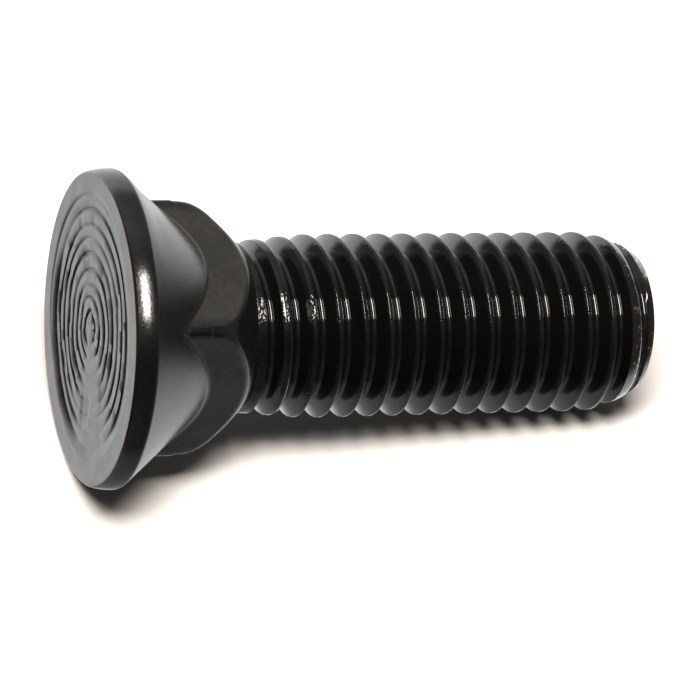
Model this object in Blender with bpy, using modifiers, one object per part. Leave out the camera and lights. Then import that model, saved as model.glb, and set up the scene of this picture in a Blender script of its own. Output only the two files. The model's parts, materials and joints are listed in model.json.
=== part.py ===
"""Plow bolt, 5/8-11 x 2 in, with a round countersunk head and a square neck.

It is one forged and rolled solid. The head's flat face lies on z = 0, the axis is +Z
and the neck's flats face +X, -X, +Y and -Y. All lengths are in metres.
"""
import math

import bmesh
import bpy
from mathutils import Matrix, Vector

MM = 0.001

# Bolt
LENGTH = 49.9 * MM

# Head: a flat face, a low rim that flares a little and an 80 degree countersink
HEAD_DIAMETER = 27.4 * MM
FACE_DIAMETER = 26.8 * MM
FACE_EDGE_RADIUS = 0.3 * MM
RIM_HEIGHT = 1.8 * MM
RIM_BLEND_RADIUS = 0.4 * MM
COUNTERSINK_ANGLE = math.radians(80.0)

# Square neck, as forged: rounded corners and a shoulder that curves in to the thread.
# The thread has to pass the square hole, so the flats stand just outside it.
NECK_OVER_THREAD = 0.025 * MM
NECK_CORNER_RADIUS = 0.75 * MM
NECK_CORNER_LENGTH = 2.45 * MM
SHOULDER_RADIUS = 3.9 * MM
SHOULDER_ANGLE = math.radians(45.0)

# Right-hand thread, rolled
THREAD_DIAMETER = 15.875 * MM
THREAD_PITCH = 2.309 * MM
FLANK_ANGLE = math.radians(30.0)
CREST_WIDTH = 0.29 * MM
THREAD_DEPTH = 1.42 * MM
FIRST_CREST = 0.544 * MM
RUN_IN_LENGTH = 6.4 * MM
RUN_IN_DROP = 0.6 * MM

# Rounded tip
TIP_LENGTH = 4.5 * MM
TIP_RADIUS = 12.0 * MM
TIP_START_ANGLE = math.radians(8.0)

# Fineness of the facets
HEAD_STEPS = 64
THREAD_STEPS = 48
ARC_POINTS = 4
CORNER_SEGMENTS = 4
MERGE_DISTANCE = 0.01 * MM
SHARP_ANGLE = math.radians(28.0)

# Finish: black oil on hardened steel
OILED_STEEL = {"Base Color": (0.045, 0.043, 0.041, 1.0), "Roughness": 0.42, "Metallic": 0.7}

# Places along the axis that follow from the sizes above
HEAD_RADIUS = HEAD_DIAMETER / 2
FACE_RADIUS = FACE_DIAMETER / 2
THREAD_RADIUS = THREAD_DIAMETER / 2
ROOT_RADIUS = THREAD_RADIUS - THREAD_DEPTH
CONE_SLOPE = math.tan(COUNTERSINK_ANGLE / 2)
NECK_ACROSS_FLATS = THREAD_DIAMETER + NECK_OVER_THREAD
NECK_CORNER_REACH = math.sqrt(2) * (NECK_ACROSS_FLATS / 2 - NECK_CORNER_RADIUS) + NECK_CORNER_RADIUS
CONE_TO_NECK = RIM_HEIGHT + (HEAD_RADIUS - NECK_CORNER_REACH) / CONE_SLOPE
SHOULDER_START = CONE_TO_NECK + NECK_CORNER_LENGTH
SHOULDER_CURVE_END = SHOULDER_START + SHOULDER_RADIUS * math.sin(SHOULDER_ANGLE)
SHOULDER_CURVE_REACH = NECK_CORNER_REACH - SHOULDER_RADIUS * (1 - math.cos(SHOULDER_ANGLE))
RUN_IN_RADIUS = THREAD_RADIUS - RUN_IN_DROP
NECK_END = SHOULDER_CURVE_END + (SHOULDER_CURVE_REACH - RUN_IN_RADIUS) / math.tan(SHOULDER_ANGLE)

# How far one solid reaches inside the next before they are joined
OVERLAP = 1.2 * MM

# How far the rolled blank stands clear of the full thread's crests
CREST_CLEARANCE = 0.15 * MM


def clear_scene():
    """Remove every object, so that the model starts empty."""
    for item in list(bpy.data.objects):
        bpy.data.objects.remove(item, do_unlink=True)


def new_collection(name):
    collection = bpy.data.collections.new(name)
    bpy.context.scene.collection.children.link(collection)
    return collection


def new_material(name, values):
    material = bpy.data.materials.new(name)
    material.use_nodes = True
    shader = material.node_tree.nodes["Principled BSDF"]
    for socket, value in values.items():
        shader.inputs[socket].default_value = value
    return material


def arc(centre, radius, start, end, points=ARC_POINTS):
    """Points (r, z) on an arc between two angles, measured from the outward radius."""
    result = []
    for i in range(points + 1):
        angle = start + (end - start) * i / points
        result.append((centre[0] + radius * math.cos(angle), centre[1] + radius * math.sin(angle)))
    return result


def rounded(corner, radius, start, end):
    """A corner (r, z) rounded off between two surfaces whose normals have these angles."""
    middle = (start + end) / 2
    inset = radius / math.cos((start - end) / 2)
    centre = (corner[0] - inset * math.cos(middle), corner[1] - inset * math.sin(middle))
    return arc(centre, radius, start, end)


def add_object(name, mesh, collection, cutter=True):
    item = bpy.data.objects.new(name, mesh)
    collection.objects.link(item)
    if cutter:
        item.hide_render = True
        item.display_type = "WIRE"
    return item


def turned(name, profile, collection, start_step=0.5):
    """Turn a profile of (r, z) points, listed from its top to its bottom, about Z.

    It starts a part of a step round from +X, so that the facets of two solids that are
    joined or cut never share an edge line.
    """
    start = start_step * 2 * math.pi / HEAD_STEPS
    mesh = bpy.data.meshes.new(name)
    edges = [(i, i + 1) for i in range(len(profile) - 1)]
    points = [(r * math.cos(start), r * math.sin(start), z) for r, z in profile]
    mesh.from_pydata(points, edges, [])
    item = add_object(name, mesh, collection)
    screw = item.modifiers.new("Turn", "SCREW")
    screw.axis = "Z"
    screw.angle = 2 * math.pi
    screw.steps = HEAD_STEPS
    screw.render_steps = HEAD_STEPS
    screw.use_merge_vertices = True
    screw.merge_threshold = MERGE_DISTANCE
    return item


def combine(item, other, operation):
    """Add an exact Boolean of another solid to an object."""
    boolean = item.modifiers.new(operation.title() + " " + other.name, "BOOLEAN")
    boolean.operation = operation
    boolean.solver = "EXACT"
    boolean.object = other


def head_profile():
    """Axis inside the neck, down the countersink, round the rim and in along the face."""
    flare = math.atan2(HEAD_RADIUS - FACE_RADIUS, RIM_HEIGHT)
    inner_radius = ROOT_RADIUS - OVERLAP / 2
    inner_height = RIM_HEIGHT + (HEAD_RADIUS - inner_radius) / CONE_SLOPE
    profile = [(0.0, inner_height), (inner_radius, inner_height)]
    profile += rounded((HEAD_RADIUS, RIM_HEIGHT), RIM_BLEND_RADIUS, COUNTERSINK_ANGLE / 2, -flare)
    profile += rounded((FACE_RADIUS, 0.0), FACE_EDGE_RADIUS, -flare, -math.pi / 2)
    profile.append((0.0, 0.0))
    return profile


def shoulder_profile():
    """The outline that the square neck is cut back to, from its tip down to the rim."""
    slope = math.tan(SHOULDER_ANGLE)
    tip_radius = ROOT_RADIUS - OVERLAP
    tip_height = SHOULDER_CURVE_END + (SHOULDER_CURVE_REACH - tip_radius) / slope
    centre = (NECK_CORNER_REACH - SHOULDER_RADIUS, SHOULDER_START)
    bottom = RIM_HEIGHT - OVERLAP
    outer = NECK_CORNER_REACH + OVERLAP
    profile = [(0.0, tip_height), (tip_radius, tip_height)]
    profile += arc(centre, SHOULDER_RADIUS, SHOULDER_ANGLE, 0.0, 2 * ARC_POINTS)
    # Below the shoulder the cutter stands clear of the corners
    profile += [(outer, SHOULDER_START - OVERLAP / 2), (outer, bottom), (0.0, bottom)]
    return profile


def blank_profile():
    """The outline that trims the thread: run-in, clear of the crests, then the rounded tip."""
    inner = NECK_END - OVERLAP
    clear_radius = THREAD_RADIUS + CREST_CLEARANCE
    run_in_slope = RUN_IN_DROP / RUN_IN_LENGTH
    # The tip's arc meets the crests at its start angle, not in a tangent
    tip_centre_height = LENGTH - TIP_LENGTH - TIP_RADIUS * math.sin(TIP_START_ANGLE)
    tip_centre = (THREAD_RADIUS - TIP_RADIUS * math.cos(TIP_START_ANGLE), tip_centre_height)
    tip_end_angle = math.asin((LENGTH - tip_centre_height) / TIP_RADIUS)
    profile = [(0.0, LENGTH)]
    profile += arc(tip_centre, TIP_RADIUS, tip_end_angle, TIP_START_ANGLE, 2 * ARC_POINTS)
    profile.append((clear_radius, LENGTH - TIP_LENGTH - CREST_CLEARANCE / math.tan(TIP_START_ANGLE)))
    profile.append((clear_radius, NECK_END + RUN_IN_LENGTH + CREST_CLEARANCE / run_in_slope))
    profile += [(RUN_IN_RADIUS - OVERLAP * run_in_slope, inner), (0.0, inner)]
    return profile


def square_neck(collection):
    """A square bar with rounded corners, from inside the head to past the shoulder."""
    bottom = RIM_HEIGHT
    top = SHOULDER_CURVE_END + (SHOULDER_CURVE_REACH - ROOT_RADIUS) / math.tan(SHOULDER_ANGLE) + OVERLAP / 4
    size = Vector((NECK_ACROSS_FLATS, NECK_ACROSS_FLATS, top - bottom))
    centre = Vector((0.0, 0.0, (top + bottom) / 2))
    bm = bmesh.new()
    bmesh.ops.create_cube(bm, size=1.0, matrix=Matrix.Translation(centre) @ Matrix.Diagonal(size).to_4x4())
    upright = [edge for edge in bm.edges if abs(edge.verts[0].co.z - edge.verts[1].co.z) > OVERLAP]
    bmesh.ops.bevel(
        bm, geom=upright, offset=NECK_CORNER_RADIUS, segments=CORNER_SEGMENTS, profile=0.5, affect="EDGES"
    )
    mesh = bpy.data.meshes.new("square_neck")
    bm.to_mesh(mesh)
    bm.free()
    return add_object("square_neck", mesh, collection)


def threaded_rod(collection):
    """One pitch of the thread's outline, spun along the helix and cut square at both ends."""
    flank = THREAD_DEPTH * math.tan(FLANK_ANGLE)
    low_end = NECK_END - 2 * OVERLAP
    high_end = LENGTH + OVERLAP
    turns_below = math.ceil((NECK_END + FIRST_CREST - low_end) / THREAD_PITCH) + 1
    turns = turns_below + math.ceil((high_end - NECK_END) / THREAD_PITCH) + 1
    first = NECK_END + FIRST_CREST - turns_below * THREAD_PITCH
    half_crest = CREST_WIDTH / 2
    half_ridge = half_crest + flank
    outline = [
        (ROOT_RADIUS, first - half_ridge),
        (THREAD_RADIUS, first - half_crest),
        (THREAD_RADIUS, first + half_crest),
        (ROOT_RADIUS, first + half_ridge),
        (ROOT_RADIUS, first + THREAD_PITCH - half_ridge),
    ]
    bm = bmesh.new()
    verts = [bm.verts.new((r, 0.0, z)) for r, z in outline]
    edges = [bm.edges.new(pair) for pair in zip(verts, verts[1:])]
    bmesh.ops.spin(
        bm, geom=verts + edges, axis=(0, 0, 1), cent=(0, 0, 0), dvec=(0, 0, THREAD_PITCH / THREAD_STEPS),
        angle=2 * math.pi * turns, steps=THREAD_STEPS * turns
    )
    bmesh.ops.remove_doubles(bm, verts=bm.verts, dist=MERGE_DISTANCE)
    for height, outward in ((low_end, -1.0), (high_end, 1.0)):
        everything = bm.verts[:] + bm.edges[:] + bm.faces[:]
        cut = bmesh.ops.bisect_plane(
            bm, geom=everything, plane_co=(0, 0, height), plane_no=(0, 0, outward), clear_outer=True
        )
        rim = [item for item in cut["geom_cut"] if isinstance(item, bmesh.types.BMEdge)]
        bmesh.ops.contextual_create(bm, geom=rim)
    bmesh.ops.recalc_face_normals(bm, faces=bm.faces)
    mesh = bpy.data.meshes.new("threaded_rod")
    bm.to_mesh(mesh)
    bm.free()
    return add_object("threaded_rod", mesh, collection)


def settle(item):
    """Turn an object's modifiers into its mesh and shade its round faces smooth."""
    graph = bpy.context.evaluated_depsgraph_get()
    mesh = bpy.data.meshes.new_from_object(item.evaluated_get(graph))
    item.modifiers.clear()
    item.data = mesh
    mesh.shade_smooth()
    mesh.set_sharp_from_angle(angle=SHARP_ANGLE)


def build():
    clear_scene()
    part = new_collection("plow_bolt")
    cutters = new_collection("cutters")

    neck = square_neck(cutters)
    combine(neck, turned("shoulder", shoulder_profile(), cutters), "INTERSECT")
    thread = threaded_rod(cutters)
    combine(thread, turned("rolled_blank", blank_profile(), cutters, 0.2), "INTERSECT")

    bolt = turned("plow_bolt", head_profile(), part)
    bolt.hide_render = False
    bolt.display_type = "TEXTURED"
    combine(bolt, neck, "UNION")
    combine(bolt, thread, "UNION")
    settle(bolt)
    bolt.data.materials.clear()
    bolt.data.materials.append(new_material("oiled_steel", OILED_STEEL))


build()
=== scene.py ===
"""Black oiled plow bolt: the forged head and square neck, the rolled thread, and a studio.

The file is laid out as an add-on and is run as a script. Lengths are in metres, the axis is
+Z and the head's flat face lies on z = 0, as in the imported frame.
"""
import json
import math

import bmesh
import bpy
from bpy.props import FloatProperty, FloatVectorProperty, IntProperty, PointerProperty
from bpy.types import Operator, Panel, PropertyGroup
from mathutils import Matrix, Vector, noise

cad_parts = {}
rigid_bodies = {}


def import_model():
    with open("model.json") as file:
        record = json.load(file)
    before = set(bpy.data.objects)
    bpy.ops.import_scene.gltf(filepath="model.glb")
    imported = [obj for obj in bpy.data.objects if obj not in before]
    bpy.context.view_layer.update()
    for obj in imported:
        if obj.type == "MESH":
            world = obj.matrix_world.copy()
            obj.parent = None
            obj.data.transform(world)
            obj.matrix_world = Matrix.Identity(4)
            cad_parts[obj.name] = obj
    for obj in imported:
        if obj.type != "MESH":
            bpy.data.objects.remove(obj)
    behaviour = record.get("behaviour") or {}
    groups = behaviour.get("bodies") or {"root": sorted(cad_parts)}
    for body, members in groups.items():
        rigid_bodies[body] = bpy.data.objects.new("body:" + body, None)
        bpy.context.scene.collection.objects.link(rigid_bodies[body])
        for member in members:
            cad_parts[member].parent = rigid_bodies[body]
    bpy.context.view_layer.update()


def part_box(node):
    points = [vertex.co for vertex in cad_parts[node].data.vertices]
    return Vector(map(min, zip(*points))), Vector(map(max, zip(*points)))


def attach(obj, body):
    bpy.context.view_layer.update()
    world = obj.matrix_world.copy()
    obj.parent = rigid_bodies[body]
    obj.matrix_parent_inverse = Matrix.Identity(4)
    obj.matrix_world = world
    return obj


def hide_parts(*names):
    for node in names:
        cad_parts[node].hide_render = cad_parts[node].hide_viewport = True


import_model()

bl_info = {
    "name": "Black Plow Bolt",
    "version": (1, 0, 0),
    "blender": (4, 5, 0),
    "location": "View3D > Sidebar > Plow Bolt",
    "description": "Models a black oiled plow bolt around its packed frame and lights it",
    "category": "Add Mesh",
}

MM = 0.001
NODE = "plow_bolt"
BODY = "root"

# The CAD box gives the bolt's length and the head's radius
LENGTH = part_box(NODE)[1][2]
HEAD_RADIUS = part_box(NODE)[1][0]

# The photograph's frame, and the side of the bolt that faces down in it, in degrees about the axis
IMAGE_SIZE = 700
SENSOR = 36.0
DOWN_SIDE = 42.5

# Vertices nearer than these merge, those nearer the axis than ON_AXIS aren't moved sideways, and
# an edge is shaded sharp past SHARP_ANGLE
HEAD_MERGE = 0.001 * MM
THREAD_MERGE = 0.004 * MM
ON_AXIS = 0.1 * MM
SHARP_ANGLE = math.radians(38.0)

# Steps of faces round each rounded corner, along the rim's swell and round a crest's edge
CORNER_STEPS, SWELL_STEPS, CREST_STEPS = 6, 14, 3

# How far the neck reaches into the thread, and the thread into the neck
NECK_OVERLAP = 1.2 * MM
THREAD_OVERLAP = 2.0 * MM

# The rings' depth as a share of the setting: its middle, its change by noise, and its limits
RING_SHARE, RING_CHANGE = 0.85, 0.9
RING_LEAST, RING_MOST = 0.3, 1.15
# The rings fade on the down side, between these cosines of the angle from it
RING_FADE, RING_FADE_BETWEEN = 0.85, (0.72, 0.96)
# Their noise: its steps about the axis and from ring to ring, and a place in it of their own
RING_TURN, RING_STEP, RING_SEED = 1.4, 3.7, 5.0
# The wobble pushes rings in and out, and ends towards the rim, between these radii
WOBBLE = 0.3 * MM
WOBBLE_TURN, WOBBLE_PER_MM = 1.3, 0.35
WOBBLE_END = (HEAD_RADIUS - 1.2 * MM, 9.5 * MM)
FACE_ROW = 0.15 * MM

# The dish's edge wobbles and lies off centre, and its wall is steepest on the down side
DISH_WOBBLE = 0.4 * MM
DISH_SHIFT = 0.6 * MM
DISH_WALL_LEAST = 0.3 * MM
DISH_WALL_EXTRA = 1.4 * MM

# A band is nothing up to its first place, whole from the second to the third, and nothing past
# the fourth. The dents' band is in radii.
DENT_BAND = (4.0 * MM, 6.0 * MM, 9.4 * MM, 10.6 * MM)
DENTS_PER_MM, DENT_SEED, DENT_LEVELS = 0.42, 11.0, (0.12, 0.5)
# The flash's band is in heights. It is outside FLASH_RADIUS and on the upper side, between these
# cosines of the angle from it.
FLASH_BAND = (0.8 * MM, 1.7 * MM, 2.0 * MM, 3.8 * MM)
FLASH_RADIUS = 11.0 * MM
FLASH_BETWEEN = (0.35, 0.9)

# The thread is cut square this far below the tip's end; then come rings that round and dish the
# end, each with its share of the tip's radius and its height above the cut
TIP_CUT = 0.06 * MM
TIP_RINGS = ((0.975, 0.06 * MM), (0.85, 0.0), (0.6, -0.14 * MM), (0.3, -0.2 * MM))
# The thread is trimmed with this blend, and the run-in's line goes this far past the crests
TRIM_BLEND = 0.1 * MM
RUN_IN_SLACK = 0.3 * MM

# Heights and radii between which one finish turns into the next. FLATS_MARGIN is from a flat,
# CORNER_SPLIT is how much more across one way than the other, and CREST_DEPTHS is from a crest.
FLATS_MARGIN = (-0.09 * MM, -0.02 * MM, 0.02 * MM, 0.08 * MM)
FLATS_BAND = (4.0 * MM, 5.0 * MM, 12.3 * MM, 12.6 * MM)
# CORNER_SIDE and CORNER_SPLIT place the painted shade near the corners of the two flats that face Y
CORNER_SIDE = (9.9 * MM, 10.7 * MM)
CORNER_SPLIT = (0.0, 0.2 * MM)
CORNER_RADII = (10.66 * MM, 10.74 * MM)
CORNER_START = (5.3 * MM, 5.7 * MM)
THREAD_START = (12.2 * MM, 13.0 * MM)
FACE_END = (0.35 * MM, 0.5 * MM)
FACE_EDGE = (13.2 * MM, 13.4 * MM)
RIM_END = (1.7 * MM, 1.9 * MM)
GROOVE_DEPTHS = (0.17 * MM, 0.27 * MM)
CRESTS_FROM = 12.8 * MM
CREST_DEPTHS = (-0.32 * MM, -0.14 * MM)
TIP_EDGE_HEIGHTS = (LENGTH - 0.8 * MM, LENGTH - 0.2 * MM)
TIP_EDGE_RADII = (5.6 * MM, 6.1 * MM)
WORN_CRESTS = (LENGTH - 6.5 * MM, LENGTH - 3.0 * MM)

# How strongly the marks and the painted shade show, and the noise levels between which the marks come in
# Painted shade near the corners of the two flats that face Y: how much of the flats' colour and roughness
# it takes back
CORNER_SHADE_AND_GLOSS = 0.8
MOTTLE, MOTTLE_LEVELS = 0.25, (0.62, 0.38)
STAIN, STAIN_LEVELS = 0.34, (0.56, 0.4)
# Painted shade in the deepest parts of the face's ring grooves: its strength
GROOVE_SHADE = 0.85
WEAR, WEAR_LEVELS = 0.7, (0.57, 0.66)
GRAIN_ROUGHNESS = 0.05
METALLIC = 0.92

# Heights of the fine relief in the steel's bump
GRAIN_HEIGHT = 0.0006 * MM
CREST_RELIEF = 0.028 * MM
FACE_RELIEF, FACE_GRAIN = 0.03 * MM, 0.006 * MM
RIM_RELIEF = 0.012 * MM

# The room that the steel reflects, in ramps on how much of a direction points to the middle of the
# bright side, along the bolt's axis or up in the image. Each ramp has two limits, and the
# strengths also have their value at each. BRIGHT_TURN is from the viewer towards the image's up.
BRIGHT_TURN = math.radians(187.5)
BRIGHT_EDGE = (0.12, 0.38)
BRIGHT_END, BRIGHT_END_LEAN = (-0.62, -0.5), 0.09
HEAD_END_STRENGTH = (0.35, -0.35, 1.0, 1.8)
TIP_END_STRENGTH = (0.36, 0.56, 0.0, 0.8)
SHADOW_DOWN, SHADOW_ALONG, SHADOW_DARKNESS = (-0.05, -0.36), (0.95, 0.2), 0.72
SIDES_EDGE, SIDES_SHARE = (0.6, 0.95), 0.25

# The sheets and the lights
SHEET_HALF_SIZE = 0.4
SHEET_GAP = 0.05 * MM
PAPER_TILT = math.radians(7.7)
PAPER_TOUCH = 1.8 * MM
LIGHT_DISTANCE = 0.5
# The key light stands this far round from the viewer to the image's up, and a little to the head's side
KEY_TURN = math.radians(22.0)
KEY_DROP = 0.05
KEY_SIZE = (0.26, 0.10)
PAPER_LIGHT_PLACE = Vector((0.0924, -0.3228, -0.0833))
PAPER_LIGHT_SIZE = (0.12, 0.2)
PAPER_LIGHT_TINT = (1.0, 0.93, 0.87)
FLOOR_LIGHT_SIZE = (0.5, 0.5)

WHITE = (1.0, 1.0, 1.0, 1.0)
BLACK = (0.0, 0.0, 0.0, 1.0)


def length(name, description, millimetres):
    """A length setting, given in millimetres and kept in metres."""
    return FloatProperty(
        name=name, description=description, default=millimetres * MM, unit="LENGTH", precision=5
    )


def angle(name, description, degrees):
    """An angle setting, given in degrees and kept in radians."""
    return FloatProperty(
        name=name, description=description, default=math.radians(degrees), subtype="ANGLE", unit="ROTATION"
    )


def share(name, description, default):
    """A setting from 0 to 1."""
    return FloatProperty(
        name=name, description=description, default=default, min=0.0, max=1.0, subtype="FACTOR"
    )


def colour(name, description, default):
    """A colour setting: red, green and blue."""
    return FloatVectorProperty(
        name=name, description=description, default=default, min=0.0, max=1.0, size=3, subtype="COLOR"
    )


class ForgedHeadSettings(PropertyGroup):
    """Sizes of the head, the square neck and the marks on the flat face."""

    face_edge_radius: length("Face edge radius", "Rounding between the flat face and the rim", 0.25)
    rim_swell: length("Rim swell", "Radius of the rim's curve from the face to its widest place", 5.0)
    rim_height: length("Rim height", "Where the rim and the countersink would meet", 1.8)
    rim_blend_radius: length("Rim blend radius", "Rounding between the rim and the countersink", 0.4)
    cone_half_angle: angle("Countersink half angle", "Angle between the axis and the countersink", 40.0)
    half_flats: length("Half across flats", "From the axis to a flat of the neck", 7.95)
    corner_radius: length("Neck corner radius", "Rounding of the neck's four corners", 0.75)
    corner_length: length("Neck corner length", "Straight part of the neck at a corner", 2.45)
    shoulder_radius: length("Shoulder radius", "Rounding at the start of the shoulder", 3.9)
    shoulder_angle: angle("Shoulder angle", "Angle between the axis and the shoulder", 45.0)
    cone_fillet: length("Countersink fillet", "Width of the blend between countersink and flats", 0.28)
    shoulder_fillet: length("Shoulder fillet", "Width of the blend between flats and shoulder", 0.35)
    ring_count: IntProperty(name="Rings", description="Number of turned rings", default=9, min=0)
    first_ring: length("First ring radius", "Radius of the innermost ring", 1.4)
    ring_pitch: length("Ring pitch", "Distance between rings", 1.25)
    ring_width: length("Ring width", "Half the width of a ring's groove", 0.24)
    ring_depth: length("Ring depth", "Depth of a ring's groove", 0.15)
    dish_radius: length("Dish radius", "Radius of the sunken middle of the face", 11.5)
    dish_depth: length("Dish depth", "How far the middle of the face is sunk", 0.16)
    dent_depth: length("Dent depth", "Depth of the shallow dents in the face", 0.07)
    flash: length("Flash", "How far the forging's flash raises one side of the rim", 0.24)
    steps: IntProperty(name="Steps", description="Steps round the head", default=320, min=32)
    rows_pitch: length("Row spacing", "Distance between rows of faces along the neck", 0.12)


class RolledThreadSettings(PropertyGroup):
    """Sizes of the rolled thread, its run-in and the tip."""

    major_radius: length("Crest radius", "From the axis to a full crest", 7.9375)
    pitch: length("Pitch", "Distance between crests along the axis", 2.309)
    depth: length("Depth", "Depth of the thread", 1.42)
    flank_angle: angle("Flank angle", "Half the angle between flanks", 30.0)
    crest_width: length("Crest width", "Width of a crest, measured between its flanks", 0.289)
    crest_round: length("Crest rounding", "Rounding of a crest's two edges", 0.08)
    first_crest: length("First crest", "Height of a crest on the +X side near the neck", 13.304)
    run_in_radius: length("Run-in radius", "Radius of the rod where it leaves the neck", 7.3375)
    run_in_length: length("Run-in length", "Length over which the crests rise to full size", 6.4)
    tip_length: length("Tip length", "Length of the rounded tip", 4.5)
    tip_radius: length("Tip radius", "Radius of the tip's rounding along the axis", 12.0)
    tip_start_angle: angle("Tip start angle", "Angle at which the tip's rounding starts", 8.0)
    steps: IntProperty(name="Steps", description="Steps in a turn of the thread", default=96, min=24)


class FinishSettings(PropertyGroup):
    """Colours and gloss of the black oxide, the oil stains, the painted shade in the face's grooves and the
    worn steel.
    """

    oxide: colour("Oxide", "Colour of the oiled black oxide", (0.07, 0.067, 0.063))
    flat_oxide: colour("Flat oxide", "Colour of the duller oxide on the flats", (0.105, 0.098, 0.09))
    face_oxide: colour("Oxide on the face", "Colour of the oxide on the head's face", (0.10, 0.098, 0.096))
    # This colour paints the face's stains and also the painted shade in the deepest parts of the ring
    # grooves
    stain_and_groove_shade: colour("Old oil", "Colour of the oil that has dried in the grooves", (0.016, 0.014, 0.012))
    bare_steel: colour("Bare steel", "Colour of worn edges", (0.55, 0.51, 0.46))
    flat_roughness: share("Flat roughness", "Roughness of the neck's flats", 0.42)
    face_roughness: share("Face roughness", "Roughness of the head's face", 0.34)
    cone_roughness: share("Countersink roughness", "Roughness of the countersink and the shoulder", 0.27)
    rim_roughness: share("Rim roughness", "Roughness of the head's rim", 0.16)
    thread_roughness: share("Thread roughness", "Roughness of the rolled thread", 0.11)


class StudioSettings(PropertyGroup):
    """The camera and the light of the photograph."""

    azimuth: angle("Azimuth", "Camera's turn about the bolt's axis", DOWN_SIDE)
    elevation: angle("Elevation", "Camera's height above the face's plane", -20.79)
    roll: angle("Roll", "Camera's turn about its own view", 88.92)
    distance: length("Distance", "From the camera to the middle of the bolt", 347.8)
    middle_height: length("Middle height", "Height of the middle that the camera is placed by", 24.59)
    lens: FloatProperty(name="Lens", description="Focal length in millimetres", default=205.8)
    middle_x: FloatProperty(name="Middle across", description="Bolt's middle, pixels across", default=359.5)
    middle_y: FloatProperty(name="Middle down", description="Bolt's middle, pixels down", default=324.8)
    backdrop: colour("Backdrop", "Colour of the floor", (0.92, 0.92, 0.92))
    paper_tint: colour("Paper", "Colour of the paper behind the bolt", (0.28, 0.275, 0.27))
    key_power: FloatProperty(
        name="Key light", description="Power of the bolt's light", default=2.7, unit="POWER"
    )
    paper_power: FloatProperty(
        name="Paper light", description="Power of the paper's light", default=8.6, unit="POWER"
    )
    floor_power: FloatProperty(
        name="Floor light", description="Power of the floor's light", default=5.0, unit="POWER"
    )
    room: colour("Room", "Colour of the dark side of the room", (0.112, 0.105, 0.096))


def smoothstep(low, high, value):
    t = min(max((value - low) / (high - low), 0.0), 1.0)
    return t * t * (3 - 2 * t)


def band(start, full, fade, end, value):
    """One between full and fade, and nothing before start and past end."""
    return smoothstep(start, full, value) * smoothstep(end, fade, value)


def soft_min(a, b, width):
    """The lesser of two values, blended where they are closer than width."""
    h = min(max(0.5 + 0.5 * (b - a) / width, 0.0), 1.0)
    return b * (1 - h) + a * h - width * h * (1 - h)


def soft_max(a, b, width):
    return -soft_min(-a, -b, width)


def tip_circle(sizes):
    """The middle (r, z) of the circle that rounds the tip along the axis."""
    r = sizes.major_radius - sizes.tip_radius * math.cos(sizes.tip_start_angle)
    z = LENGTH - sizes.tip_length - sizes.tip_radius * math.sin(sizes.tip_start_angle)
    return r, z


def arc(centre, radius, start, end, steps):
    """Points (r, z) on an arc between two angles, measured from the outward radius."""
    turned = []
    for i in range(steps + 1):
        a = start + (end - start) * i / steps
        turned.append((centre[0] + radius * math.cos(a), centre[1] + radius * math.sin(a)))
    return turned


def rounded(corner, radius, start, end, steps):
    """A corner (r, z) rounded off between two surfaces whose normals have these angles."""
    middle = (start + end) / 2
    inset = radius / math.cos((start - end) / 2)
    centre = (corner[0] - inset * math.cos(middle), corner[1] - inset * math.sin(middle))
    return arc(centre, radius, start, end, steps)


def along(start, end, spacing):
    """Evenly spaced values from start to end, both included."""
    steps = max(1, round((end - start) / spacing))
    return [start + (end - start) * i / steps for i in range(steps + 1)]


def mesh_from(bm, name):
    mesh = bpy.data.meshes.new(name)
    bm.to_mesh(mesh)
    bm.free()
    return mesh


def face_outwards(bm):
    """Make the faces of a closed mesh agree and point out of it."""
    bmesh.ops.recalc_face_normals(bm, faces=bm.faces)
    if bm.calc_volume(signed=True) < 0:
        bmesh.ops.reverse_faces(bm, faces=bm.faces)


def add_profile(bm, points):
    """A chain of edges through (r, z) points on the XZ plane."""
    verts = [bm.verts.new((r, 0.0, z)) for r, z in points]
    return verts + [bm.edges.new(pair) for pair in zip(verts, verts[1:])]


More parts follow.
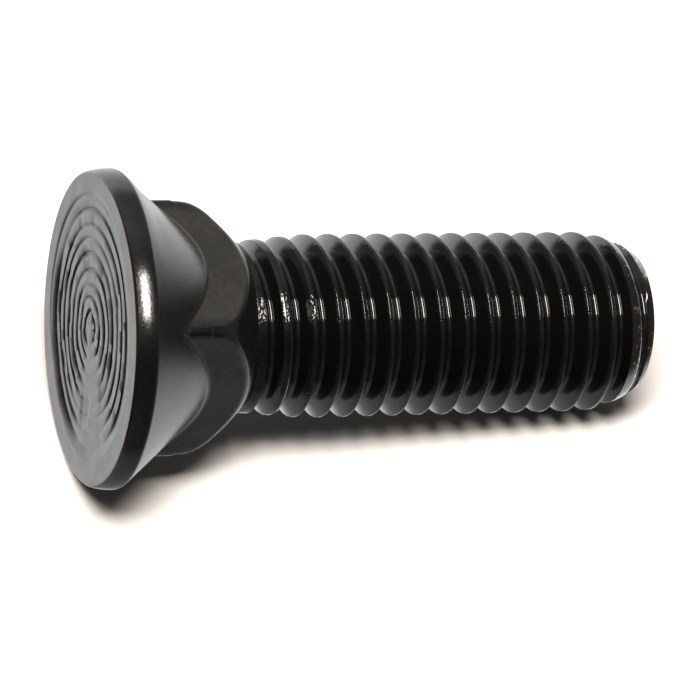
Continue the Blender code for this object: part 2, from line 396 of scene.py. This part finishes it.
class Head:
    """The forged head and neck: a spun profile whose neck is pulled out to a square."""

    def __init__(self, sizes):
        self.s = sizes
        self.slope = math.tan(sizes.cone_half_angle)
        inner = sizes.half_flats - sizes.corner_radius
        self.corner_reach = math.sqrt(2) * inner + sizes.corner_radius
        cone_to_neck = sizes.rim_height + (HEAD_RADIUS - self.corner_reach) / self.slope
        # The rim swells from the face to where its blend with the countersink starts
        self.rim_top = sizes.rim_height - sizes.rim_blend_radius * math.tan(sizes.cone_half_angle / 2)
        self.rim_lean = math.asin(self.rim_top / sizes.rim_swell)
        self.face_radius = HEAD_RADIUS - sizes.rim_swell * (1 - math.cos(self.rim_lean))
        self.shoulder_start = cone_to_neck + sizes.corner_length
        self.curve_end = self.shoulder_start + sizes.shoulder_radius * math.sin(sizes.shoulder_angle)
        self.curve_reach = self.corner_reach - sizes.shoulder_radius * (1 - math.cos(sizes.shoulder_angle))

    def cone(self, z):
        return HEAD_RADIUS - (z - self.s.rim_height) * self.slope

    def shoulder(self, z):
        s = self.s
        if z < self.shoulder_start:
            return self.corner_reach + (self.shoulder_start - z)
        if z < self.curve_end:
            rise = z - self.shoulder_start
            return self.corner_reach - s.shoulder_radius + math.sqrt(s.shoulder_radius**2 - rise**2)
        return self.curve_reach - (z - self.curve_end) * math.tan(s.shoulder_angle)

    def square(self, around):
        """Reach of the rounded square at an angle about the axis, with its flats across X and Y."""
        s = self.s
        turn = around % (math.pi / 2) - math.pi / 4
        corner = math.sqrt(2) * (s.half_flats - s.corner_radius)
        under = s.corner_radius**2 - (corner * math.sin(turn)) ** 2
        if under > 0:
            reach = corner * math.cos(turn) + math.sqrt(under)
            if abs(math.atan2(reach * math.sin(turn), reach * math.cos(turn) - corner)) <= math.pi / 4:
                return reach
        return s.half_flats / math.cos(math.pi / 4 - abs(turn))

    def reach(self, around, z):
        """Distance from the axis to the surface of the cone, the neck and the shoulder."""
        s = self.s
        neck = soft_min(self.square(around), self.shoulder(z), s.shoulder_fillet)
        return soft_max(self.cone(z), neck, s.cone_fillet)

    def face_points(self):
        """The flat face from the middle out, with seven points across each ring's groove."""
        s = self.s
        radii = [0.0]
        for i in range(s.ring_count):
            ring = s.first_ring + i * s.ring_pitch
            radii += [ring + s.ring_width * k / 3 for k in range(-3, 4)]
        radii += along(radii[-1] + FACE_ROW, self.face_radius - 2 * FACE_ROW, FACE_ROW)
        return [(r, 0.0) for r in radii]

    def profile(self, top):
        """From the middle of the face round the rim and up the neck, back to the axis."""
        s = self.s
        swell = (HEAD_RADIUS - s.rim_swell, self.rim_top)
        points = self.face_points()
        edge = (self.face_radius, 0.0)
        points += rounded(edge, s.face_edge_radius, -math.pi / 2, -self.rim_lean, CORNER_STEPS)
        rim = arc(swell, s.rim_swell, -self.rim_lean, 0.0, SWELL_STEPS)
        points += [point for point in rim if point[1] > points[-1][1]]
        edge = (HEAD_RADIUS, s.rim_height)
        points += rounded(edge, s.rim_blend_radius, 0.0, s.cone_half_angle, CORNER_STEPS)[1:]
        start = points[-1][1]
        points += [(self.cone(z), z) for z in along(start, top, s.rows_pitch)[1:]]
        points.append((0.0, top))
        return points

    def carve_face(self, vert):
        """Sink the rings, the dish and the dents into the face, uneven as a worn tool leaves them."""
        s = self.s
        x, y = vert.co.xy
        r = math.hypot(x, y)
        around = math.atan2(y, x)
        along_ring = Vector((math.cos(around), math.sin(around), 0.0))
        wobble = noise.noise(along_ring * WOBBLE_TURN + Vector((0.0, 0.0, r / MM * WOBBLE_PER_MM)))
        index = round((r - s.first_ring) / s.ring_pitch)
        ring = s.first_ring + min(max(index, 0), s.ring_count - 1) * s.ring_pitch
        groove = max(0.0, 1 - ((r - ring) / s.ring_width) ** 2) ** 1.5
        down = math.cos(around - math.radians(DOWN_SIDE))
        spot = along_ring * RING_TURN + Vector((RING_SEED, 0.0, index * RING_STEP))
        strength = RING_SHARE + RING_CHANGE * noise.noise(spot)
        strength = min(max(strength, RING_LEAST), RING_MOST)
        strength *= 1 - RING_FADE * smoothstep(*RING_FADE_BETWEEN, down)
        dish_edge = s.dish_radius + DISH_WOBBLE * wobble - DISH_SHIFT * down
        dish_wall = DISH_WALL_LEAST + DISH_WALL_EXTRA * (0.5 - 0.5 * down)
        inside = smoothstep(dish_edge, dish_edge - dish_wall, r)
        depth = (s.dish_depth + s.ring_depth * groove * strength) * inside
        spot = Vector((x / MM * DENTS_PER_MM, y / MM * DENTS_PER_MM, DENT_SEED))
        dent = smoothstep(*DENT_LEVELS, noise.noise(spot)) * band(*DENT_BAND, r)
        vert.co.z += depth + s.dent_depth * dent
        if r > ON_AXIS:
            vert.co.xy *= 1 + WOBBLE * wobble / r * smoothstep(*WOBBLE_END, r)

    def build(self, top):
        s = self.s
        bm = bmesh.new()
        geometry = add_profile(bm, self.profile(top))
        bmesh.ops.spin(
            bm, geom=geometry, cent=(0, 0, 0), axis=(0, 0, 1), angle=2 * math.pi, steps=s.steps,
            use_merge=True, use_duplicate=False
        )
        bmesh.ops.remove_doubles(bm, verts=bm.verts, dist=HEAD_MERGE)
        cone_start = self.rim_top + s.rim_blend_radius * math.sin(s.cone_half_angle)
        for vert in bm.verts:
            x, y, z = vert.co
            r = math.hypot(x, y)
            if z < HEAD_MERGE and r < self.face_radius - s.face_edge_radius:
                self.carve_face(vert)
            elif z > cone_start + 10 * HEAD_MERGE and r > ON_AXIS:
                vert.co.xy *= self.reach(math.atan2(y, x), z) / r
            self.raise_flash(vert)
        face_outwards(bm)
        return bm

    def raise_flash(self, vert):
        """Lift the rim's edge on the side where the forging kept some flash."""
        x, y, z = vert.co
        if math.hypot(x, y) > FLASH_RADIUS:
            side = -math.cos(math.atan2(y, x) - math.radians(DOWN_SIDE))
            vert.co.z += self.s.flash * band(*FLASH_BAND, z) * smoothstep(*FLASH_BETWEEN, side)


class Thread:
    """The rolled thread: one pitch of its outline spun along the helix, then trimmed."""

    def __init__(self, sizes, bottom):
        self.s = sizes
        self.bottom = bottom
        self.root_radius = sizes.major_radius - sizes.depth
        full = sizes.pitch / 2 / math.tan(sizes.flank_angle)
        above_crest = sizes.crest_width / 2 / math.tan(sizes.flank_angle)
        self.root_round = full - sizes.depth - above_crest

    def outline(self):
        """One pitch, from the middle of a crest to the middle of the next."""
        s = self.s
        turn = math.pi / 2 - s.flank_angle
        half_flat = s.crest_width / 2 - s.crest_round * math.tan(turn / 2)
        crest = (s.major_radius - s.crest_round, half_flat)
        root = (self.root_radius + self.root_round, s.pitch / 2)
        down = arc(crest, s.crest_round, 0.0, turn, CREST_STEPS)
        valley = arc(root, self.root_round, math.pi + turn, math.pi - turn, CORNER_STEPS)
        next_crest = (s.major_radius - s.crest_round, s.pitch - half_flat)
        up = arc(next_crest, s.crest_round, -turn, 0.0, CREST_STEPS)
        slope = down + self.flank(down[-1], valley[0]) + valley + self.flank(valley[-1], up[0]) + up
        return [(s.major_radius, 0.0)] + slope + [(s.major_radius, s.pitch)]

    @staticmethod
    def flank(start, end):
        return [tuple(a + (b - a) * t for a, b in zip(start, end)) for t in (1 / 3, 2 / 3)]

    def limit(self, z):
        """The rod's outline that trims the crests at the run-in and at the tip."""
        s = self.s
        run_in = s.run_in_radius + (s.major_radius - s.run_in_radius) * (z - self.bottom) / s.run_in_length
        run_in = min(run_in, s.major_radius + RUN_IN_SLACK)
        centre_r, centre_z = tip_circle(s)
        above = max(z - centre_z, 0.0)
        tip = centre_r + math.sqrt(max(s.tip_radius**2 - above**2, 0.0))
        if z < LENGTH - 2 * s.tip_length:
            return run_in
        return min(run_in, tip)

    def build(self, low):
        s = self.s
        turns_below = math.ceil((s.first_crest - low) / s.pitch) + 1
        turns = turns_below + math.ceil((LENGTH - s.first_crest) / s.pitch) + 1
        first = s.first_crest - turns_below * s.pitch
        bm = bmesh.new()
        geometry = add_profile(bm, [(r, first + z) for r, z in self.outline()])
        bmesh.ops.spin(
            bm, geom=geometry, cent=(0, 0, 0), axis=(0, 0, 1), dvec=(0, 0, s.pitch / s.steps),
            angle=2 * math.pi, steps=s.steps
        )
        one_turn = bm.verts[:] + bm.edges[:] + bm.faces[:]
        for i in range(1, turns):
            copy = bmesh.ops.duplicate(bm, geom=one_turn)["geom"]
            verts = [item for item in copy if isinstance(item, bmesh.types.BMVert)]
            bmesh.ops.translate(bm, verts=verts, vec=(0, 0, i * s.pitch))
        bmesh.ops.remove_doubles(bm, verts=bm.verts, dist=THREAD_MERGE)
        for height, outward in ((low, -1.0), (LENGTH - TIP_CUT, 1.0)):
            everything = bm.verts[:] + bm.edges[:] + bm.faces[:]
            cut = bmesh.ops.bisect_plane(
                bm, geom=everything, plane_co=(0, 0, height), plane_no=(0, 0, outward), clear_outer=True
            )
            rim = [item for item in cut["geom_cut"] if isinstance(item, bmesh.types.BMEdge)]
            end = bmesh.ops.contextual_create(bm, geom=rim)["faces"]
        for vert in bm.verts:
            x, y, z = vert.co
            r = math.hypot(x, y)
            if r > ON_AXIS:
                vert.co.xy *= soft_min(r, self.limit(z), TRIM_BLEND) / r
        self.finish_tip(bm, end)
        face_outwards(bm)
        return bm

    def finish_tip(self, bm, end):
        """Round the end face's edge and dish it slightly."""
        for reach, height in TIP_RINGS:
            ring = bmesh.ops.extrude_face_region(bm, geom=end)["geom"]
            bmesh.ops.delete(bm, geom=end, context="FACES_ONLY")
            end = [item for item in ring if isinstance(item, bmesh.types.BMFace)]
            verts = [item for item in ring if isinstance(item, bmesh.types.BMVert)]
            for vert in verts:
                outward = math.hypot(vert.co.x, vert.co.y)
                vert.co.xy *= reach * self.limit(LENGTH) / outward
                vert.co.z = LENGTH - TIP_CUT + height


def unite(name, head_mesh, thread_mesh):
    """The exact union of the two meshes, as a new mesh."""
    head = bpy.data.objects.new("head_and_neck", head_mesh)
    thread = bpy.data.objects.new("thread", thread_mesh)
    for item in (head, thread):
        bpy.context.scene.collection.objects.link(item)
    union = head.modifiers.new("Join thread", "BOOLEAN")
    union.operation = "UNION"
    union.solver = "EXACT"
    union.object = thread
    graph = bpy.context.evaluated_depsgraph_get()
    mesh = bpy.data.meshes.new_from_object(head.evaluated_get(graph))
    mesh.name = name
    for item in (head, thread):
        bpy.data.objects.remove(item, do_unlink=True)
    return mesh


class Shade:
    """A shader socket, on which arithmetic adds Math nodes."""

    def __init__(self, tree, socket=None):
        self.tree = tree
        self.socket = socket

    def node(self, kind, settings=None, inputs=None, output=0):
        """Add any node: its settings first, then the values or links of its sockets."""
        made = self.tree.nodes.new(kind)
        for name, value in (settings or {}).items():
            setattr(made, name, value)
        for name, value in (inputs or {}).items():
            if isinstance(value, Shade):
                self.tree.links.new(value.socket, made.inputs[name])
            else:
                made.inputs[name].default_value = value
        return Shade(self.tree, made.outputs[output] if made.outputs else None)

    def other(self, output):
        """Another output of the same node."""
        return Shade(self.tree, self.socket.node.outputs[output])

    def math(self, operation, *values):
        return self.node("ShaderNodeMath", {"operation": operation}, dict(enumerate(values)))

    def mix(self, other, factor):
        """This colour, turning into the other one as the factor goes from 0 to 1."""
        return self.node("ShaderNodeMix", {"data_type": "RGBA"}, {0: factor, 6: self, 7: other}, output=2)

    def ramp(self, low, high, to_low=0.0, to_high=1.0):
        """A smooth step of this value between two limits."""
        values = {"Value": self, "From Min": low, "From Max": high, "To Min": to_low, "To Max": to_high}
        return self.node("ShaderNodeMapRange", {"interpolation_type": "SMOOTHSTEP"}, values)

    def fade(self, low, high):
        """A smooth step down: one below the first limit and nothing above the second."""
        return self.ramp(high, low)

    def band(self, start, full, fade, end):
        """One between full and fade, and nothing before start and past end."""
        return self.ramp(start, full) * self.fade(fade, end)

    def noise(self, scale, detail=2.0, roughness=0.5):
        """Noise on these coordinates, with its scale in cells per metre."""
        values = {"Vector": self, "Scale": scale, "Detail": detail, "Roughness": roughness}
        return self.node("ShaderNodeTexNoise", {}, values)

    def __add__(self, other):
        return self.math("ADD", self, other)

    def __sub__(self, other):
        return self.math("SUBTRACT", self, other)

    def __mul__(self, other):
        return self.math("MULTIPLY", self, other)

    def __rsub__(self, other):
        return self.math("SUBTRACT", other, self)

    __radd__ = __add__
    __rmul__ = __mul__


def rgba(values):
    return (*values, 1.0)


def black_oiled_steel(finish, head, thread):
    """Black oxide under oil: satin with forging scale on the head, glossy on the thread."""
    material = bpy.data.materials.new("black_oiled_steel")
    material.use_nodes = True
    tree = material.node_tree
    tree.nodes.clear()
    shade = Shade(tree)
    place = shade.node("ShaderNodeTexCoord", {}, output=3)
    x = shade.node("ShaderNodeSeparateXYZ", {}, {"Vector": place})
    y, z = x.other("Y"), x.other("Z")
    r = shade.math("SQRT", x * x + y * y)

    # Where the parts of the surface are
    across, down = shade.math("ABSOLUTE", x), shade.math("ABSOLUTE", y)
    on_flat = shade.math("MAXIMUM", across, down).band(*(head.half_flats + gap for gap in FLATS_MARGIN))
    on_flat = on_flat * z.band(*FLATS_BAND)
    # Painted shade: on the two flats that face Y, the flats' lighter colour and roughness fade near the
    # corners, so they turn darker and glossier there
    corner_shade_and_gloss = r.ramp(*CORNER_SIDE) * (down - across).ramp(*CORNER_SPLIT)
    on_flat = on_flat * (1 - corner_shade_and_gloss * CORNER_SHADE_AND_GLOSS)
    on_thread = z.ramp(*THREAD_START)
    on_face = z.fade(*FACE_END) * r.fade(*FACE_EDGE)
    on_corner = r.ramp(*CORNER_RADII) * z.ramp(*CORNER_START)
    on_rim = z.fade(*RIM_END) * (1 - on_face)

    cloud = place.noise(260.0, 3.0)
    grain = place.noise(2600.0, 4.0, 0.62)

    oxide = shade.node("ShaderNodeRGB")
    oxide.socket.default_value = rgba(finish.oxide)
    skin = oxide.mix(rgba(finish.flat_oxide), on_flat).mix(rgba(finish.face_oxide), on_face)
    mottle = (cloud * 0.5 + grain * 0.5).ramp(*MOTTLE_LEVELS)
    skin = skin.mix(BLACK, mottle * MOTTLE)
    stain = place.noise(420.0, 4.0, 0.6).ramp(*STAIN_LEVELS) * on_face
    skin = skin.mix(rgba(finish.stain_and_groove_shade), stain * STAIN)
    # Painted shade: the deepest parts of the face's ring grooves are darkened with the stain colour
    groove = on_face * z.ramp(*GROOVE_DEPTHS)
    skin = skin.mix(rgba(finish.stain_and_groove_shade), groove * GROOVE_SHADE)

    # The crests rise through the run-in, and the last ones are worn
    rise = (thread.major_radius - thread.run_in_radius) / thread.run_in_length
    run_in = (z - CRESTS_FROM) * rise + thread.run_in_radius
    centre_r, centre_z = tip_circle(thread)
    above = shade.math("MAXIMUM", z - centre_z, 0.0)
    tip = shade.math("SQRT", thread.tip_radius**2 - above * above) + centre_r
    crest_line = shade.math("MINIMUM", shade.math("MINIMUM", run_in, tip), thread.major_radius)
    on_crest = on_thread * (r - crest_line).ramp(*CREST_DEPTHS)
    rim_wear = z.ramp(*TIP_EDGE_HEIGHTS) * r.ramp(*TIP_EDGE_RADII)
    crest_wear = on_crest * z.ramp(*WORN_CRESTS)
    streaks = place.noise(1100.0, 4.0, 0.7)
    wear = (shade.math("MAXIMUM", rim_wear, crest_wear) * streaks).ramp(*WEAR_LEVELS)
    skin = skin.mix(rgba(finish.bare_steel), wear * WEAR)

    # Each part's roughness is reached from the countersink's
    roughness = finish.cone_roughness + (grain - 0.5) * GRAIN_ROUGHNESS
    parts = (
        (on_flat, finish.flat_roughness),
        (on_face, finish.face_roughness),
        (on_rim, finish.rim_roughness),
        (on_thread + on_corner, finish.thread_roughness),
    )
    for mask, value in parts:
        roughness = roughness + mask * (value - finish.cone_roughness)

    height = grain * GRAIN_HEIGHT + on_crest * (place.noise(3200.0, 2.0) - 0.5) * CREST_RELIEF
    height = height + on_face * ((cloud - 0.5) * FACE_RELIEF + grain * FACE_GRAIN)
    height = height + on_rim * (place.noise(3600.0, 3.0, 0.6) - 0.5) * RIM_RELIEF
    bump = shade.node("ShaderNodeBump", {}, {"Strength": 1.0, "Distance": 1.0, "Height": height})

    surface = shade.node(
        "ShaderNodeBsdfPrincipled", {},
        {"Base Color": skin, "Metallic": METALLIC, "Roughness": roughness, "Normal": bump}
    )
    shade.node("ShaderNodeOutputMaterial", {}, {"Surface": surface})
    return material


class BOLT_OT_forge(Operator):
    """Model the bolt and give it its finish"""

    bl_idname = "plow_bolt.forge"
    bl_label = "Forge bolt"

    def execute(self, context):
        head_sizes = context.scene.bolt_head
        thread_sizes = context.scene.bolt_thread
        head = Head(head_sizes)
        run = (head.curve_reach - thread_sizes.run_in_radius) / math.tan(head_sizes.shoulder_angle)
        neck_end = head.curve_end + run
        thread = Thread(thread_sizes, neck_end)
        head_mesh = mesh_from(head.build(neck_end + NECK_OVERLAP), "head_and_neck")
        thread_mesh = mesh_from(thread.build(neck_end - THREAD_OVERLAP), "thread")
        mesh = unite("black_bolt", head_mesh, thread_mesh)
        mesh.shade_smooth()
        mesh.set_sharp_from_angle(angle=SHARP_ANGLE)
        mesh.materials.clear()
        mesh.materials.append(black_oiled_steel(context.scene.bolt_finish, head_sizes, thread_sizes))
        bolt = bpy.data.objects.new("black_bolt", mesh)
        context.scene.collection.objects.link(bolt)
        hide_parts(NODE)
        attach(bolt, BODY)
        return {"FINISHED"}


def one_sided(name, tint):
    """A matt sheet's material, which is clear from behind."""
    material = bpy.data.materials.new(name)
    material.use_nodes = True
    tree = material.node_tree
    tree.nodes.clear()
    shade = Shade(tree)
    behind = shade.node("ShaderNodeNewGeometry", output="Backfacing")
    matt = shade.node("ShaderNodeBsdfDiffuse", {}, {"Color": rgba(tint)})
    clear = shade.node("ShaderNodeBsdfTransparent", {}, {"Color": WHITE})
    front = shade.node("ShaderNodeMixShader", {}, {0: behind, 1: matt, 2: clear})
    shade.node("ShaderNodeOutputMaterial", {}, {"Surface": front})
    return material


def only_lights(light, items):
    """Let a light fall on these objects and on nothing else."""
    collection = bpy.data.collections.new(light.name + "_falls_on")
    for item in items:
        collection.objects.link(item)
    light.light_linking.receiver_collection = collection


def add_sheet(name, place, material):
    """A square sheet for the camera's eye alone, with its place in its mesh."""
    bm = bmesh.new()
    bmesh.ops.create_grid(bm, x_segments=1, y_segments=1, size=SHEET_HALF_SIZE, matrix=place)
    sheet = bpy.data.objects.new(name, mesh_from(bm, name))
    sheet.data.materials.append(material)
    bpy.context.scene.collection.objects.link(sheet)
    sheet.visible_diffuse = False
    sheet.visible_glossy = False
    sheet.visible_transmission = False
    sheet.visible_shadow = False
    return sheet


def view_axes(studio):
    """The image's up, the way to the viewer and the bolt's axis, all square to each other."""
    a = studio.azimuth
    up = Vector((-math.cos(a), -math.sin(a), 0.0))
    viewer = Vector((math.sin(a), -math.cos(a), 0.0))
    return up, viewer, Vector((0.0, 0.0, 1.0))


def add_camera(studio):
    """The photograph's camera, which lies on its side and looks up at the face."""
    focal = studio.lens / SENSOR * IMAGE_SIZE
    half = IMAGE_SIZE / 2
    turn = Matrix.Rotation(studio.azimuth, 3, "Z")
    turn = turn @ Matrix.Rotation(math.pi / 2 - studio.elevation, 3, "X")
    turn = turn @ Matrix.Rotation(studio.roll, 3, "Z")
    across = (studio.middle_x - half) / focal * studio.distance
    up = -(studio.middle_y - half) / focal * studio.distance
    middle = Vector((0.0, 0.0, studio.middle_height))
    camera = bpy.data.objects.new("camera", bpy.data.cameras.new("camera"))
    camera.data.sensor_width = SENSOR
    camera.data.lens = studio.lens
    camera.data.clip_start = 0.01
    camera.data.clip_end = 10.0
    camera.rotation_mode = "QUATERNION"
    camera.rotation_quaternion = turn.to_quaternion()
    camera.location = middle - turn @ Vector((across, up, -studio.distance))
    bpy.context.scene.collection.objects.link(camera)
    bpy.context.scene.camera = camera


def add_area(name, place, aim, size, power, up, tint=WHITE[:3]):
    """A rectangular soft box aimed at a point."""
    light = bpy.data.lights.new(name, "AREA")
    light.color = tint
    light.shape = "RECTANGLE"
    light.size = size[0]
    light.size_y = size[1]
    light.energy = power
    box = bpy.data.objects.new(name, light)
    back = (place - aim).normalized()
    side = up.cross(back).normalized()
    box.rotation_mode = "QUATERNION"
    box.rotation_quaternion = Matrix((side, back.cross(side), back)).transposed().to_quaternion()
    box.location = place
    box.visible_camera = False
    bpy.context.scene.collection.objects.link(box)
    return box


def light_room(studio):
    """A white backdrop for the eye, a bright side behind the bolt and a dark side in front."""
    world = bpy.data.worlds.new("room")
    bpy.context.scene.world = world
    world.use_nodes = True
    tree = world.node_tree
    tree.nodes.clear()
    shade = Shade(tree)
    up, viewer, axis = view_axes(studio)
    direction = shade.node("ShaderNodeTexCoord", output="Generated")

    def share_of(way):
        """How much of a direction points this way."""
        settings = {"operation": "DOT_PRODUCT"}
        return shade.node("ShaderNodeVectorMath", settings, {0: direction, 1: way}, output=1)

    facing = share_of(viewer * math.cos(BRIGHT_TURN) + up * math.sin(BRIGHT_TURN))
    along_axis = share_of(axis)
    along_up = share_of(up)
    bright = facing.ramp(*BRIGHT_EDGE) * (along_axis - along_up * BRIGHT_END_LEAN).ramp(*BRIGHT_END)
    sides = shade.math("ABSOLUTE", along_up).ramp(*SIDES_EDGE) * SIDES_SHARE
    in_shadow = along_up.ramp(*SHADOW_DOWN) * along_axis.ramp(*SHADOW_ALONG)
    strength = along_axis.ramp(*HEAD_END_STRENGTH) + along_axis.ramp(*TIP_END_STRENGTH)
    strength = strength * (1 - in_shadow * SHADOW_DARKNESS)
    dark = shade.node("ShaderNodeRGB")
    dark.socket.default_value = rgba(studio.room)
    lit = dark.mix(WHITE, shade.math("MAXIMUM", bright, sides))
    seen = shade.node("ShaderNodeLightPath", output="Is Camera Ray")
    tone = lit.mix(WHITE, seen)
    background = shade.node("ShaderNodeBackground", {}, {"Color": tone, "Strength": strength})
    shade.node("ShaderNodeOutputWorld", {}, {"Surface": background})


class BOLT_OT_stage(Operator):
    """Set up the floor, the paper, the lights and the photograph's camera"""

    bl_idname = "plow_bolt.stage"
    bl_label = "Set stage"

    def execute(self, context):
        studio = context.scene.bolt_studio
        add_camera(studio)
        light_room(studio)
        up, viewer, axis = view_axes(studio)
        middle = Vector((0.0, 0.0, LENGTH / 2))

        # The paper that the bolt lies on in the photograph touches the rim and the last crests
        paper_place = Matrix.Translation((0.0, HEAD_RADIUS + SHEET_GAP, PAPER_TOUCH))
        paper_place = paper_place @ Matrix.Rotation(math.pi / 2 + PAPER_TILT, 4, "X")
        floor_place = Matrix.Translation((0.0, 0.0, -SHEET_GAP))
        paper = add_sheet("paper", paper_place, one_sided("white_paper", studio.paper_tint))
        floor = add_sheet("floor", floor_place, one_sided("pale_floor", studio.backdrop))

        toward = viewer * math.cos(KEY_TURN) + up * math.sin(KEY_TURN) - axis * KEY_DROP
        key_place = middle + toward.normalized() * LIGHT_DISTANCE
        key = add_area("key_box", key_place, middle, KEY_SIZE, studio.key_power, axis)
        only_lights(key, [item for item in context.scene.objects if item.name == "black_bolt"])

        # The paper's own light is close, a little toward its near edge and past the head
        paper_light = add_area(
            "paper_box", PAPER_LIGHT_PLACE, middle, PAPER_LIGHT_SIZE, studio.paper_power, axis,
            tint=PAPER_LIGHT_TINT
        )
        only_lights(paper_light, [paper])
        above = middle + axis * LIGHT_DISTANCE
        floor_light = add_area("floor_box", above, middle, FLOOR_LIGHT_SIZE, studio.floor_power, up)
        only_lights(floor_light, [floor])

        context.scene.view_settings.view_transform = "Standard"
        return {"FINISHED"}


class BOLT_PT_panel(Panel):
    """Lists the bolt's settings and its two operators"""

    bl_idname = "BOLT_PT_panel"
    bl_label = "Plow Bolt"
    bl_space_type = "VIEW_3D"
    bl_region_type = "UI"
    bl_category = "Plow Bolt"

    def draw(self, context):
        scene = context.scene
        for name in SETTINGS:
            group = getattr(scene, name)
            box = self.layout.box()
            for entry in group.bl_rna.properties:
                if entry.identifier not in {"rna_type", "name"}:
                    box.prop(group, entry.identifier)
        self.layout.operator(BOLT_OT_forge.bl_idname)
        self.layout.operator(BOLT_OT_stage.bl_idname)


SETTINGS = {
    "bolt_head": ForgedHeadSettings,
    "bolt_thread": RolledThreadSettings,
    "bolt_finish": FinishSettings,
    "bolt_studio": StudioSettings,
}
CLASSES = (*SETTINGS.values(), BOLT_OT_forge, BOLT_OT_stage, BOLT_PT_panel)


def register():
    for cls in CLASSES:
        bpy.utils.register_class(cls)
    for name, group in SETTINGS.items():
        setattr(bpy.types.Scene, name, PointerProperty(type=group))


def unregister():
    for name in SETTINGS:
        delattr(bpy.types.Scene, name)
    for cls in reversed(CLASSES):
        bpy.utils.unregister_class(cls)


def main():
    register()
    bpy.ops.plow_bolt.forge()
    bpy.ops.plow_bolt.stage()


if __name__ == "__main__":
    main()
